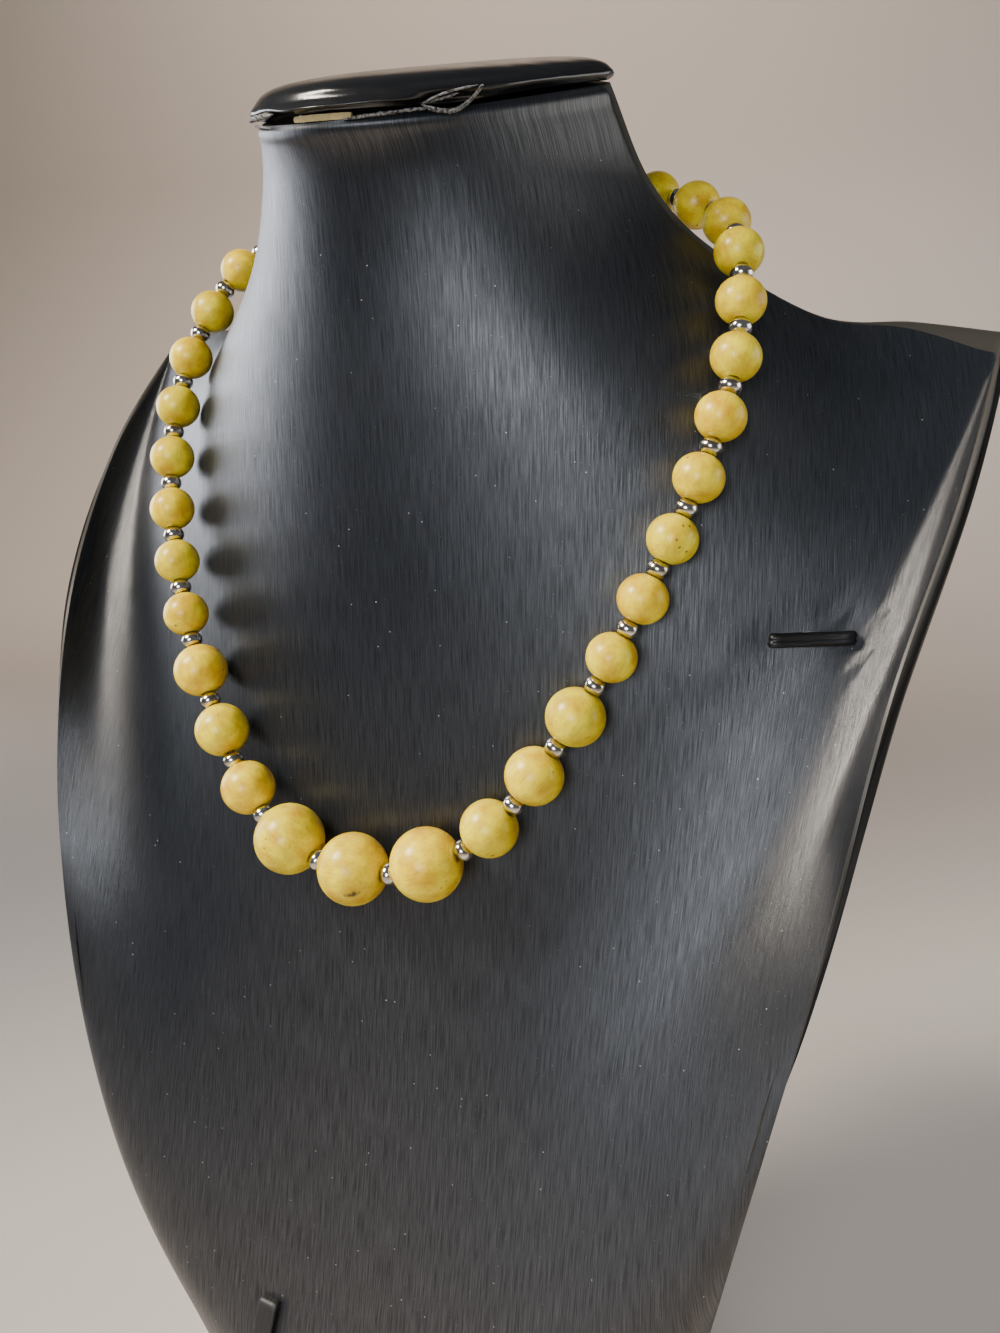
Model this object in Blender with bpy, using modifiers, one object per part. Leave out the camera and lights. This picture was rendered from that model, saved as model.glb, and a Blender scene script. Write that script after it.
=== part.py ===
"""A necklace of drilled wooden beads and silver spacers, lying on a hollow neck bust that stands on its own."""

import math
from collections import namedtuple

import bmesh
import bpy
from mathutils import Matrix, Vector

MM = 0.001

# Sizes of the bust. Depths run backwards from the middle of the object, where Y is 0
BUST_WIDTH = 216 * MM
BUST_HEIGHT = 285 * MM
BUST_DEPTH = 80 * MM
PANEL_THICKNESS = 2.5 * MM
NECK_BACK_DEPTH = 31.4 * MM
NECK_BACK_THICKNESS = 1.5 * MM
CAP_THICKNESS = 7.5 * MM
CAP_BACK_THICKNESS = 4 * MM
CAP_OVERHANG = 1.2 * MM
LEG_WIDTH = 50 * MM
LEG_THICKNESS = 4 * MM

# Sizes of the straps that are threaded through the panel
SIDE_STRAP_WIDTH = 2.8 * MM
SIDE_STRAP_THICKNESS = 2.0 * MM
FOOT_STRAP_WIDTH = 5.0 * MM
FOOT_STRAP_THICKNESS = 1.6 * MM
STRAP_TAIL = 5 * MM

# Sizes of the necklace: a bead is a little shorter along its hole than it is wide
LARGE_BEAD_WIDTH = 15.2 * MM
LARGE_BEAD_LENGTH = 14.6 * MM
MEDIUM_BEAD_WIDTH = 11.8 * MM
MEDIUM_BEAD_LENGTH = 11.3 * MM
SMALL_BEAD_WIDTH = 10.0 * MM
SMALL_BEAD_LENGTH = 9.4 * MM
BEAD_HOLE = 2.2 * MM
SPACER_WIDTH = 4.8 * MM
SPACER_LENGTH = 2.5 * MM
THREAD_WIDTH = 0.8 * MM
CLASP_WIDTH = 5.0 * MM
CLASP_LENGTH = 7.0 * MM
LARGE_BEADS_BESIDE_CENTRE = 1
MEDIUM_BEADS_A_SIDE = 3

# Fits
CLEARANCE = 0.3 * MM
SEAM_GAP = 1.9 * MM
SLOT_PLAY = 0.4 * MM
STRAP_RISE = 0.5 * MM

# Fineness of the meshes
BEAD_SIDES = 12
THREAD_SIDES = 10
CLASP_SIDES = 14
PANEL_ROWS = 26
PANEL_COLUMNS = 20
NECK_BACK_ROWS = 6
NECK_BACK_COLUMNS = 14
SHARP_ANGLE = math.radians(40)

# The panel is a loft through flat sections, from the neck's top edge to the foot.
# Heights are shares of BUST_HEIGHT, widths of half BUST_WIDTH and depths of BUST_DEPTH.
# roundness is 0 for a shallow bow and 1 for a half ellipse.
Section = namedtuple("Section", "front_height side_height half_width front_depth side_depth roundness")
SECTIONS = (
    Section(0.963, 1.000, 0.346, -0.526, 0.021, 0.90),
    Section(0.934, 0.938, 0.399, -0.463, 0.119, 0.93),
    Section(0.871, 0.893, 0.495, -0.416, 0.219, 0.95),
    Section(0.774, 0.848, 0.683, -0.383, 0.351, 0.97),
    Section(0.651, 0.844, 0.836, -0.358, 0.470, 0.99),
    Section(0.513, 0.836, 0.997, -0.341, 0.528, 0.997),
    Section(0.370, 0.733, 0.991, -0.348, 0.179, 0.98),
    Section(0.236, 0.596, 0.934, -0.391, -0.138, 0.97),
    Section(0.124, 0.418, 0.869, -0.451, -0.307, 0.96),
    Section(0.042, 0.211, 0.752, -0.507, -0.356, 0.94),
    Section(0.000, 0.000, 0.600, -0.537, -0.172, 0.89),
)
SHOULDER_ROW = max(range(len(SECTIONS)), key=lambda row: SECTIONS[row].half_width)
NECK_BACK_LAST = 2.2
LEG_TOP = 1.8

# Where each strap goes in and out: section number down the panel, and share of its half width
Spot = namedtuple("Spot", "section across")
SIDE_STRAP_ENDS = (Spot(4.90, 0.724), Spot(5.40, 0.842))
FOOT_STRAP_ENDS = (Spot(8.53, -0.262), Spot(9.40, -0.335))

# The string's route on the wearer's left, from the front's middle to the back's middle,
# as points chosen by hand: across, backwards from the front bead, and up from the front bead
FRONT_BEAD_DEPTH = -35.9 * MM
FRONT_BEAD_HEIGHT = 130 * MM
ROUTE = (
    (0.0, 0.2, -0.6),
    (16.9, 1.2, 3.0),
    (29.9, 4.5, 12.0),
    (45.9, 9.4, 35.5),
    (56.8, 15.8, 58.7),
    (64.2, 24.3, 81.5),
    (66.7, 35.4, 103.8),
    (61.6, 48.6, 123.8),
    (55.4, 57.8, 130.0),
    (45.0, 64.8, 134.8),
    (24.0, 72.6, 139.4),
    (0.0, 75.0, 140.8),
)
ROUTE_STEPS = 24


def clear_scene():
    """Removes whatever the file opened with."""
    for item in list(bpy.data.objects):
        bpy.data.objects.remove(item, do_unlink=True)


def new_collection(name):
    """Adds a collection to the scene."""
    made = bpy.data.collections.new(name)
    bpy.context.scene.collection.children.link(made)
    return made


def new_material(name, colour, roughness, metallic=0.0):
    """Makes a plain Principled material."""
    made = bpy.data.materials.new(name)
    made.use_nodes = True
    shader = made.node_tree.nodes["Principled BSDF"]
    shader.inputs["Base Color"].default_value = (*colour, 1.0)
    shader.inputs["Roughness"].default_value = roughness
    shader.inputs["Metallic"].default_value = metallic
    return made


def add_object(name, data, collection, material=None):
    """Links an object that holds this data to a collection."""
    made = bpy.data.objects.new(name, data)
    collection.objects.link(made)
    if material:
        data.materials.clear()
        data.materials.append(material)
    return made


def mesh_of(name, points, faces):
    """Makes a smooth-shaded mesh from points and faces."""
    made = bpy.data.meshes.new(name)
    made.from_pydata([tuple(point) for point in points], [], faces)
    made.shade_smooth()
    return made


def loft(name, rings):
    """A closed body through rings that have as many points each, with flat ends."""
    count = len(rings[0])
    form = bmesh.new()
    verts = [[form.verts.new(point) for point in ring] for ring in rings]
    for low, high in zip(verts, verts[1:]):
        for index in range(count):
            following = (index + 1) % count
            form.faces.new((low[index], low[following], high[following], high[index]))
    form.faces.new(verts[0])
    form.faces.new(verts[-1])
    bmesh.ops.recalc_face_normals(form, faces=form.faces)
    made = bpy.data.meshes.new(name)
    form.to_mesh(made)
    form.free()
    made.set_sharp_from_angle(angle=SHARP_ANGLE)
    return made


def smooth_value(values, place):
    """Reads a smooth curve through evenly spaced values at a fractional place."""
    padded = [2 * values[0] - values[1], *values, 2 * values[-1] - values[-2]]
    index = min(max(int(place), 0), len(values) - 2)
    share = place - index
    before, start, end, after = padded[index:index + 4]
    slope_in = (end - before) / 2
    slope_out = (after - start) / 2
    bend = 3 * (end - start) - 2 * slope_in - slope_out
    twist = 2 * (start - end) + slope_in + slope_out
    return start + slope_in * share + bend * share ** 2 + twist * share ** 3


def section_at(place):
    """The panel's section at a fractional number. The side's columns have a corner at the shoulder tip."""
    columns = {name: [getattr(row, name) for row in SECTIONS] for name in Section._fields}
    values = {}
    for name, column in columns.items():
        if name in ("front_height", "front_depth", "roundness"):
            values[name] = smooth_value(column, place)
        elif place <= SHOULDER_ROW:
            values[name] = smooth_value(column[:SHOULDER_ROW + 1], place)
        else:
            values[name] = smooth_value(column[SHOULDER_ROW:], place - SHOULDER_ROW)
    return Section(**values)


def bow_share(across, roundness):
    """How far back a section has bowed at a share of its half width: 0 in the middle and 1 at the side."""
    flatness = math.sqrt(1 - roundness ** 2)
    return (1 - math.sqrt(max(1 - (roundness * across) ** 2, 0))) / (1 - flatness)


def panel_point(place, across):
    """A point on the panel's outer face."""
    row = section_at(place)
    bow = bow_share(across, row.roundness)
    depth = row.front_depth + (row.side_depth - row.front_depth) * bow
    height = row.front_height + (row.side_height - row.front_height) * bow
    return Vector((row.half_width * across * BUST_WIDTH / 2, depth * BUST_DEPTH, height * BUST_HEIGHT))


def panel_normal(place, across):
    """The way out of the panel's outer face."""
    step = 0.01
    down = panel_point(place + step, across) - panel_point(place - step, across)
    side = panel_point(place, across + step) - panel_point(place, across - step)
    return down.cross(side).normalized()


def neck_back_point(place, across):
    """A point on the outer face of the sheet that closes the neck behind the panel's side edges."""
    row = section_at(place)
    side = panel_point(place, 1.0)
    tilt = (row.side_height - row.front_height) * BUST_HEIGHT / ((row.side_depth - row.front_depth) * BUST_DEPTH)
    start = side.y + SEAM_GAP
    depth = start + (NECK_BACK_DEPTH - start) * (1 - across ** 2)
    return Vector((side.x * across, depth, side.z + (depth - side.y) * tilt))


def grid_faces(rows, columns):
    """Quads over a grid of points, row by row."""
    faces = []
    for row in range(rows):
        for column in range(columns):
            first = row * (columns + 1) + column
            below = first + columns + 1
            faces.append((first, below, below + 1, first + 1))
    return faces


def spread(columns):
    """Shares from -1 to 1 that lie closer together at the sides, where a section bends most."""
    return [math.sin(math.pi * (column / columns - 0.5)) for column in range(columns + 1)]


def thicken(item, thickness):
    """Gives an open sheet a wall behind its outer face."""
    wall = item.modifiers.new("wall", "SOLIDIFY")
    wall.thickness = thickness
    wall.offset = -1


def cut(item, cutter):
    """Cuts the cutter's shape out of an object."""
    made = item.modifiers.new("cut_" + cutter.name, "BOOLEAN")
    made.operation = "DIFFERENCE"
    made.object = cutter


def box_cutter(name, size, place, collection):
    """A box that only cuts, placed by a matrix."""
    form = bmesh.new()
    bmesh.ops.create_cube(form, size=1.0)
    bmesh.ops.scale(form, vec=size, verts=form.verts)
    data = bpy.data.meshes.new(name)
    form.to_mesh(data)
    form.free()
    made = add_object(name, data, collection)
    made.matrix_world = place
    made.hide_render = True
    made.display_type = "WIRE"
    return made


def neck_top():
    """The slanting plane that the neck's top is cut to: a point on it and the way up from it."""
    front = panel_point(0, 0)
    up = (panel_point(0, 1) - front).cross(panel_point(0, -1) - front).normalized()
    return front, up


def neck_top_cutter(collection):
    """A block over the neck that cuts its top edge flat."""
    front, up = neck_top()
    turned = up.to_track_quat("Z", "Y").to_matrix().to_4x4()
    place = Matrix.Translation(front + up * BUST_DEPTH / 2) @ turned
    return box_cutter("over_neck", (2 * BUST_WIDTH, 4 * BUST_DEPTH, BUST_DEPTH), place, collection)


def build_panel(collection, cutters, top_cutter, material):
    """The formed front of the bust: neck, shoulders and chest in one sheet, cut flat at the neck's top and the foot."""
    allowance = 2 * PANEL_THICKNESS
    last = len(SECTIONS) - 1
    shares = spread(PANEL_COLUMNS)
    points = [panel_point(0, across) + neck_top()[1] * allowance for across in shares]
    for row in range(PANEL_ROWS + 1):
        points += [panel_point(last * row / PANEL_ROWS, across) for across in shares]
    points += [panel_point(last, across) - Vector((0, 0, allowance)) for across in shares]
    data = mesh_of("bust_panel", points, grid_faces(PANEL_ROWS + 2, PANEL_COLUMNS))
    panel = add_object("bust_panel", data, collection, material)
    thicken(panel, PANEL_THICKNESS)
    floor = Matrix.Translation((0, 0, -BUST_HEIGHT / 2))
    cut(panel, box_cutter("below_floor", (2 * BUST_WIDTH, 4 * BUST_DEPTH, BUST_HEIGHT), floor, cutters))
    cut(panel, top_cutter)
    return panel


def build_neck_back(collection, top_cutter, material):
    """The formed sheet that closes the back of the neck and carries the string there."""
    shares = spread(NECK_BACK_COLUMNS)
    allowance = 2 * NECK_BACK_THICKNESS
    points = [neck_back_point(0, -across) + neck_top()[1] * allowance for across in shares]
    for row in range(NECK_BACK_ROWS + 1):
        place = NECK_BACK_LAST * row / NECK_BACK_ROWS
        points += [neck_back_point(place, -across) for across in shares]
    data = mesh_of("neck_back", points, grid_faces(NECK_BACK_ROWS + 1, NECK_BACK_COLUMNS))
    back = add_object("neck_back", data, collection, material)
    thicken(back, NECK_BACK_THICKNESS)
    cut(back, top_cutter)
    return back


def build_cap(collection, material):
    """The padded roll that closes the neck's top: rings that follow the neck's edge, thinner towards the back."""
    edge = [panel_point(0, across) for across in spread(PANEL_COLUMNS)]
    edge += [neck_back_point(0, -across) for across in spread(NECK_BACK_COLUMNS)]
    middle = sum(edge, Vector()) / len(edge)
    up = neck_top()[1]
    front, rear = panel_point(0, 0).y, neck_back_point(0, 0).y
    # each ring: its height as a share of the cap's thickness, and how far it stands out past the neck's edge
    Ring = namedtuple("Ring", "rise proud")
    rings = (
        Ring(0.0, -3.0 * CAP_OVERHANG),
        Ring(0.10, 0.1 * CAP_OVERHANG),
        Ring(0.38, 1.0 * CAP_OVERHANG),
        Ring(0.68, 0.3 * CAP_OVERHANG),
        Ring(0.90, -3.5 * CAP_OVERHANG),
        Ring(1.0, -12.0 * CAP_OVERHANG),
    )
    outlines = []
    for ring in rings:
        outline = []
        for point in edge:
            behind = (point.y - front) / (rear - front)
            thickness = CAP_THICKNESS + (CAP_BACK_THICKNESS - CAP_THICKNESS) * behind
            lift = up * (CLEARANCE + ring.rise * thickness)
            outline.append(point + (point - middle).normalized() * ring.proud + lift)
        outlines.append(outline)
    return add_object("neck_cap", loft("neck_cap", outlines), collection, material)


def build_leg(collection, material):
    """The plain board that holds the bust up from behind, tucked inside the back of the neck."""
    top = neck_back_point(LEG_TOP, 0).z
    corner = neck_back_point(LEG_TOP, LEG_WIDTH / 2 / neck_back_point(LEG_TOP, 1).x)
    rear = corner.y - NECK_BACK_THICKNESS - SEAM_GAP / 2
    data = bpy.data.meshes.new("easel_leg")
    form = bmesh.new()
    bmesh.ops.create_cube(form, size=1.0)
    bmesh.ops.scale(form, vec=(LEG_WIDTH, LEG_THICKNESS, top), verts=form.verts)
    bmesh.ops.translate(form, vec=(0, rear - LEG_THICKNESS / 2, top / 2), verts=form.verts)
    form.to_mesh(data)
    form.free()
    return add_object("easel_leg", data, collection, material)


def strap_frames(ends, rise):
    """Places along a strap: a point in its middle, the way it runs and the way out of the panel."""
    steps = 4
    spots = []
    for step in range(steps + 1):
        share = step / steps
        place = ends[0].section + (ends[1].section - ends[0].section) * share
        across = ends[0].across + (ends[1].across - ends[0].across) * share
        spots.append((panel_point(place, across), panel_normal(place, across)))
    run = (spots[-1][0] - spots[0][0]).normalized()
    out_first = (spots[0][1] - run * spots[0][1].dot(run)).normalized()
    out_last = (spots[-1][1] - run * spots[-1][1].dot(run)).normalized()
    depth = PANEL_THICKNESS + STRAP_TAIL
    frames = [(spots[0][0] - out_first * depth, out_first, -run)]
    frames.append((spots[0][0], out_first, -run))
    corner = (run + out_first).normalized()
    frames.append((spots[0][0] + out_first * rise * 0.8 + run * rise * 0.2, corner, (out_first - run).normalized()))
    for point, out in spots[1:-1]:
        frames.append((point + out * rise, run, out))
    corner = (run - out_last).normalized()
    frames.append((spots[-1][0] + out_last * rise * 0.8 - run * rise * 0.2, corner, (run + out_last).normalized()))
    frames.append((spots[-1][0], -out_last, run))
    frames.append((spots[-1][0] - out_last * depth, -out_last, run))
    return frames


def build_strap(name, ends, width, thickness, collection, material):
    """A band threaded out through one slot of the panel and in through the next."""
    frames = strap_frames(ends, STRAP_RISE + thickness / 2)
    run = (frames[-1][0] - frames[0][0]).normalized()
    side = run.cross(frames[len(frames) // 2][2]).normalized()
    corners = ((-0.5, -0.25), (-0.3, -0.5), (0.3, -0.5), (0.5, -0.25), (0.5, 0.25), (0.3, 0.5), (-0.3, 0.5), (-0.5, 0.25))
    outlines = []
    for point, _, out in frames:
        outlines.append([point + side * width * wide + out * thickness * high for wide, high in corners])
    return add_object(name, loft(name, outlines), collection, material)


def cut_slots(panel, name, ends, width, thickness, cutters):
    """The two slots that a strap passes through."""
    frames = strap_frames(ends, STRAP_RISE + thickness / 2)
    run = (frames[-1][0] - frames[0][0]).normalized()
    for label, index in (("in", 1), ("out", -2)):
        point, along, _ = frames[index]
        up = along if index == 1 else -along
        side = run.cross(up).normalized()
        turned = Matrix((run, side, up)).transposed().to_4x4()
        place = Matrix.Translation(point) @ turned
        size = (thickness + 2 * SLOT_PLAY, width + 2 * SLOT_PLAY, 4 * PANEL_THICKNESS)
        cut(panel, box_cutter(name + "_slot_" + label, size, place, cutters))


def route_points():
    """The whole loop as a dense smooth line, with the length run at each point, from the front's middle."""
    half = [Vector(point) * MM + Vector((0, FRONT_BEAD_DEPTH, FRONT_BEAD_HEIGHT)) for point in ROUTE]
    padded = [mirrored(half[1]), *half, mirrored(half[-2])]
    line = []
    for index in range(1, len(padded) - 2):
        before, start, end, after = padded[index - 1:index + 3]
        for step in range(ROUTE_STEPS):
            share = step / ROUTE_STEPS
            slope_in = (end - before) / 2
            slope_out = (after - start) / 2
            bend = 3 * (end - start) - 2 * slope_in - slope_out
            twist = 2 * (start - end) + slope_in + slope_out
            line.append(start + slope_in * share + bend * share ** 2 + twist * share ** 3)
    line.append(half[-1])
    lengths = [0.0]
    for first, second in zip(line, line[1:]):
        lengths.append(lengths[-1] + (second - first).length)
    return line, lengths


def at_length(line, lengths, length):
    """The point on the loop after a length from the front's middle, or before it where the length is negative."""
    if length < 0:
        return mirrored(at_length(line, lengths, -length))
    index = 0
    while index < len(lengths) - 2 and lengths[index + 1] < length:
        index += 1
    share = (length - lengths[index]) / (lengths[index + 1] - lengths[index])
    return line[index].lerp(line[index + 1], share)


def mirrored(point):
    """The same place on the other side of the bust."""
    return Vector((-point.x, point.y, point.z))


Bead = namedtuple("Bead", "kind width length middle along")


def lay_out_beads(line, lengths):
    """The front bead and those on one side, as many small ones as fill the loop, spread evenly."""
    kinds = {
        "large": (LARGE_BEAD_WIDTH, LARGE_BEAD_LENGTH),
        "medium": (MEDIUM_BEAD_WIDTH, MEDIUM_BEAD_LENGTH),
        "small": (SMALL_BEAD_WIDTH, SMALL_BEAD_LENGTH),
    }
    gap = SPACER_LENGTH + 2 * CLEARANCE
    room = lengths[-1] - CLASP_LENGTH / 2 - gap + LARGE_BEAD_LENGTH / 2
    fixed = ["large"] * (1 + LARGE_BEADS_BESIDE_CENTRE) + ["medium"] * MEDIUM_BEADS_A_SIDE
    used = sum(kinds[kind][1] + gap for kind in fixed) - gap
    small_count = round((room - used) / (SMALL_BEAD_LENGTH + gap))
    order = fixed + ["small"] * small_count
    used += small_count * (SMALL_BEAD_LENGTH + gap)
    gap += (room - used) / len(order)
    beads = []
    start = -LARGE_BEAD_LENGTH / 2
    for kind in order:
        width, length = kinds[kind]
        near = at_length(line, lengths, start)
        far = at_length(line, lengths, start + length)
        beads.append(Bead(kind, width, length, (near + far) / 2, (far - near).normalized()))
        start += length + gap
    return beads


def mirrored_bead(bead):
    """The same bead on the other side of the loop, with its hole still running round the same way."""
    return bead._replace(middle=mirrored(bead.middle), along=-mirrored(bead.along))


def bead_profile(width, length):
    """Half the section of a drilled bead, as a closed outline beside its axis: down its outside, up its hole."""
    bands = 6
    radius = width / 2
    edge_angle = math.asin(BEAD_HOLE / 2 / radius)
    half_length = length / 2 / math.cos(edge_angle)
    points = []
    for band in range(bands + 1):
        angle = edge_angle + (math.pi - 2 * edge_angle) * band / bands
        points.append((radius * math.sin(angle), 0, half_length * math.cos(angle)))
    data = bpy.data.meshes.new("bead_profile")
    edges = [(index, (index + 1) % len(points)) for index in range(len(points))]
    data.from_pydata(points, edges, [])
    return data


def turn(item, sides):
    """Turns an outline round its own Z axis."""
    lathe = item.modifiers.new("turned", "SCREW")
    lathe.steps = sides
    lathe.render_steps = sides
    lathe.use_merge_vertices = True
    lathe.merge_threshold = 0.01 * MM
    lathe.use_normal_calculate = True


def aim(item, middle, along):
    """Places an object with its Z axis along the string."""
    item.rotation_mode = "QUATERNION"
    item.rotation_quaternion = along.to_track_quat("Z", "Y")
    item.location = middle


def build_beads(beads, collection, material):
    """Every wooden bead, numbered round the string from the clasp's right end, as the bust faces."""
    profiles = {}
    for number, bead in enumerate(beads, start=1):
        if bead.kind not in profiles:
            profiles[bead.kind] = bead_profile(bead.width, bead.length)
            profiles[bead.kind].materials.append(material)
        item = bpy.data.objects.new(f"bead_{number:02d}", profiles[bead.kind])
        collection.objects.link(item)
        turn(item, BEAD_SIDES)
        aim(item, bead.middle, bead.along)


def spacer_stations(start, end):
    """Points and radii along one spacer on the thread, centred in the gap between two bead ends."""
    middle = (start + end) / 2
    along = (end - start).normalized()
    thread = THREAD_WIDTH / 2
    wide = SPACER_WIDTH / 2
    # distance from the spacer's middle as a share of its half length, and radius
    shape = ((-1.0, thread), (-0.70, 0.74 * wide), (0.0, wide), (0.70, 0.74 * wide), (1.0, thread))
    return [(middle + along * share * SPACER_LENGTH / 2, radius) for share, radius in shape]


def bead_ends(bead):
    """Where the bead's axis leaves it, first and last along the string."""
    reach = bead.along * bead.length / 2
    return bead.middle - reach, bead.middle + reach


def build_string(beads, clasp_middle, collection, material):
    """The thread with the silver spacers on it, as one body from one end of the clasp round to the other."""
    reach = Vector((CLASP_LENGTH / 2, 0, 0))
    stops = [(clasp_middle - reach, clasp_middle - reach)]
    stops += [bead_ends(bead) for bead in beads]
    stops += [(clasp_middle + reach, clasp_middle + reach)]
    stations = []
    for near, far in zip(stops, stops[1:]):
        stations += spacer_stations(near[1], far[0])
    data = bpy.data.curves.new("spacer_string", "CURVE")
    data.dimensions = "3D"
    data.bevel_depth = THREAD_WIDTH / 2
    data.bevel_resolution = (THREAD_SIDES - 4) // 2
    data.use_fill_caps = True
    data.materials.append(material)
    spline = data.splines.new("POLY")
    spline.points.add(len(stations) - 1)
    for point, (place, radius) in zip(spline.points, stations):
        point.co = (*place, 1)
        point.radius = radius / data.bevel_depth
    return add_object("spacer_string", data, collection)


def build_clasp(middle, collection, material):
    """The plain barrel clasp, hidden behind the neck."""
    radius = CLASP_WIDTH / 2
    half = CLASP_LENGTH / 2
    data = bpy.data.meshes.new("barrel_clasp")
    outline = ((0, 1), (0.55, 1), (0.9, 0.8), (1, 0.4), (1, -0.4), (0.9, -0.8), (0.55, -1), (0, -1))
    points = [(radius * out, 0, half * up) for out, up in outline]
    data.from_pydata(points, [(index, index + 1) for index in range(len(points) - 1)], [])
    clasp = add_object("barrel_clasp", data, collection, material)
    turn(clasp, CLASP_SIDES)
    aim(clasp, middle, Vector((1, 0, 0)))
    return clasp


def main():
    """Builds the bust, its straps and the necklace on it."""
    clear_scene()
    parts = new_collection("beaded_necklace_on_neck_bust")
    cutters = new_collection("cutters")
    leatherette = new_material("black_leatherette", (0.020, 0.022, 0.026), 0.45)
    padding = new_material("padded_leatherette", (0.015, 0.015, 0.016), 0.30)
    board = new_material("covered_board", (0.020, 0.020, 0.021), 0.60)
    lace = new_material("black_lace", (0.008, 0.008, 0.009), 0.40)
    wood = new_material("painted_wood", (0.60, 0.47, 0.06), 0.35)
    silver = new_material("silver_plate", (0.80, 0.79, 0.76), 0.15, 1.0)

    top_cutter = neck_top_cutter(cutters)
    panel = build_panel(parts, cutters, top_cutter, leatherette)
    straps = (
        ("side_strap", SIDE_STRAP_ENDS, SIDE_STRAP_WIDTH, SIDE_STRAP_THICKNESS),
        ("foot_strap", FOOT_STRAP_ENDS, FOOT_STRAP_WIDTH, FOOT_STRAP_THICKNESS),
    )
    for name, ends, width, thickness in straps:
        build_strap(name, ends, width, thickness, parts, lace)
        cut_slots(panel, name, ends, width, thickness, cutters)
    build_neck_back(parts, top_cutter, board)
    build_cap(parts, padding)
    build_leg(parts, board)

    line, lengths = route_points()
    one_side = lay_out_beads(line, lengths)
    beads = [mirrored_bead(bead) for bead in reversed(one_side[1:])] + one_side
    build_beads(beads, parts, wood)
    build_string(beads, line[-1], parts, silver)
    build_clasp(line[-1], parts, silver)


main()
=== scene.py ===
"""The looks of a wooden bead necklace on its black leatherette neck bust."""

import math
from collections import namedtuple

import bmesh
import bpy
import numpy as np
from mathutils import Matrix, Vector, noise


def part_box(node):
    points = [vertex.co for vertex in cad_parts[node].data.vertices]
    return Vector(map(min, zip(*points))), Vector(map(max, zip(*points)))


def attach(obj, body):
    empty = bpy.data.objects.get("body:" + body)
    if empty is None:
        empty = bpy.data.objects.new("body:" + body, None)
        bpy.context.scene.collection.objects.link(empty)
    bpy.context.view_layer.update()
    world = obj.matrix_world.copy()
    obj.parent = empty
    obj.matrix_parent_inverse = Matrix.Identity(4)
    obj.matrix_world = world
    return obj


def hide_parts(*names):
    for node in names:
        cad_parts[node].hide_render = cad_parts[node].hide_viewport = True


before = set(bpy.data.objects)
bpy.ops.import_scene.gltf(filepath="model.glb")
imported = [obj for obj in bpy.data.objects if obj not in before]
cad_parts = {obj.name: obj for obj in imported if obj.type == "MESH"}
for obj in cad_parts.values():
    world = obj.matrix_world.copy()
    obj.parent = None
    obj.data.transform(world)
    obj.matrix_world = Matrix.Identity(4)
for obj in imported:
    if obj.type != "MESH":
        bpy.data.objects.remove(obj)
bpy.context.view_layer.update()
MM = 0.001

# Camera and studio.
# The camera stands where the photographer stood, worked out from the necklace's own symmetry. Windows light
# the bust from the upper left, the front and both sides, and one more light washes the wall behind it.
CAMERA_PLACE = Vector((0.16484, -0.27361, 0.23182))
CAMERA_RIGHT = Vector((0.8769, 0.4806, 0.0))
CAMERA_UP = Vector((-0.0969, 0.1768, 0.9795))
CAMERA_LENS_MM = 39.81

camera_data = bpy.data.cameras.new("photo_camera")
camera_data.lens = CAMERA_LENS_MM
camera_data.sensor_width = 36.0
camera_data.clip_start = 0.01
camera = bpy.data.objects.new("photo_camera", camera_data)
bpy.context.scene.collection.objects.link(camera)
camera_back = CAMERA_RIGHT.cross(CAMERA_UP)
camera.matrix_world = Matrix.Translation(CAMERA_PLACE) @ Matrix(
    (CAMERA_RIGHT, CAMERA_UP, camera_back)).transposed().to_4x4()
bpy.context.scene.camera = camera


def linear(hex_code):
    """An sRGB hex colour as linear red, green, blue and alpha."""
    made = []
    for start in (0, 2, 4):
        value = int(hex_code[start:start + 2], 16) / 255
        made.append(value / 12.92 if value <= 0.04045 else ((value + 0.055) / 1.055) ** 2.4)
    return (*made, 1.0)


def feed(node, **sources):
    """Gives a node's inputs plain values, or links outputs or whole nodes' first outputs into them.

    An input goes by its name with underscores for spaces, or by its number after an underscore.
    """
    for name, source in sources.items():
        socket = node.inputs[int(name[1:]) if name[0] == "_" else name.replace("_", " ")]
        if isinstance(source, bpy.types.Node):
            source = source.outputs[0]
        if isinstance(source, bpy.types.NodeSocket):
            socket.id_data.links.new(source, socket)
        else:
            socket.default_value = source


def new_finish(name, colour, roughness, **settings):
    """A Principled material with its plain values on the shader's own sockets."""
    made = bpy.data.materials.new(name)
    made.use_nodes = True
    shader = made.node_tree.nodes["Principled BSDF"]
    feed(shader, Base_Color=linear(colour), Roughness=roughness, **settings)
    return made, made.node_tree, shader


def link_object(name, data):
    """Links an object to the scene at the origin."""
    made = bpy.data.objects.new(name, data)
    bpy.context.scene.collection.objects.link(made)
    return made


# Plain pale floor that rises behind the bust, in one smooth sweep of painted board
FLOOR_HALF = 2.2
WALL_DEPTH = 0.75
WALL_HEIGHT = 2.0
BEND = 0.45
sweep_points = []
for share in np.linspace(0, 1, 25):
    angle = share * math.pi / 2
    sweep_points.append((WALL_DEPTH + BEND * math.sin(angle), BEND - BEND * math.cos(angle)))
profile = [(-FLOOR_HALF, 0.0), *sweep_points, (WALL_DEPTH + BEND, WALL_HEIGHT)]
verts = [(side * FLOOR_HALF, depth, height) for depth, height in profile for side in (-1, 1)]
faces = [(2 * row, 2 * row + 1, 2 * row + 3, 2 * row + 2) for row in range(len(profile) - 1)]
sweep_mesh = bpy.data.meshes.new("studio_sweep")
sweep_mesh.from_pydata(verts, [], faces)
sweep_mesh.shade_smooth()
sweep = link_object("studio_sweep", sweep_mesh)
paint, _, _ = new_finish("matte_pale_paint", "cfc6bd", 0.9)
sweep_mesh.materials.append(paint)


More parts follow.
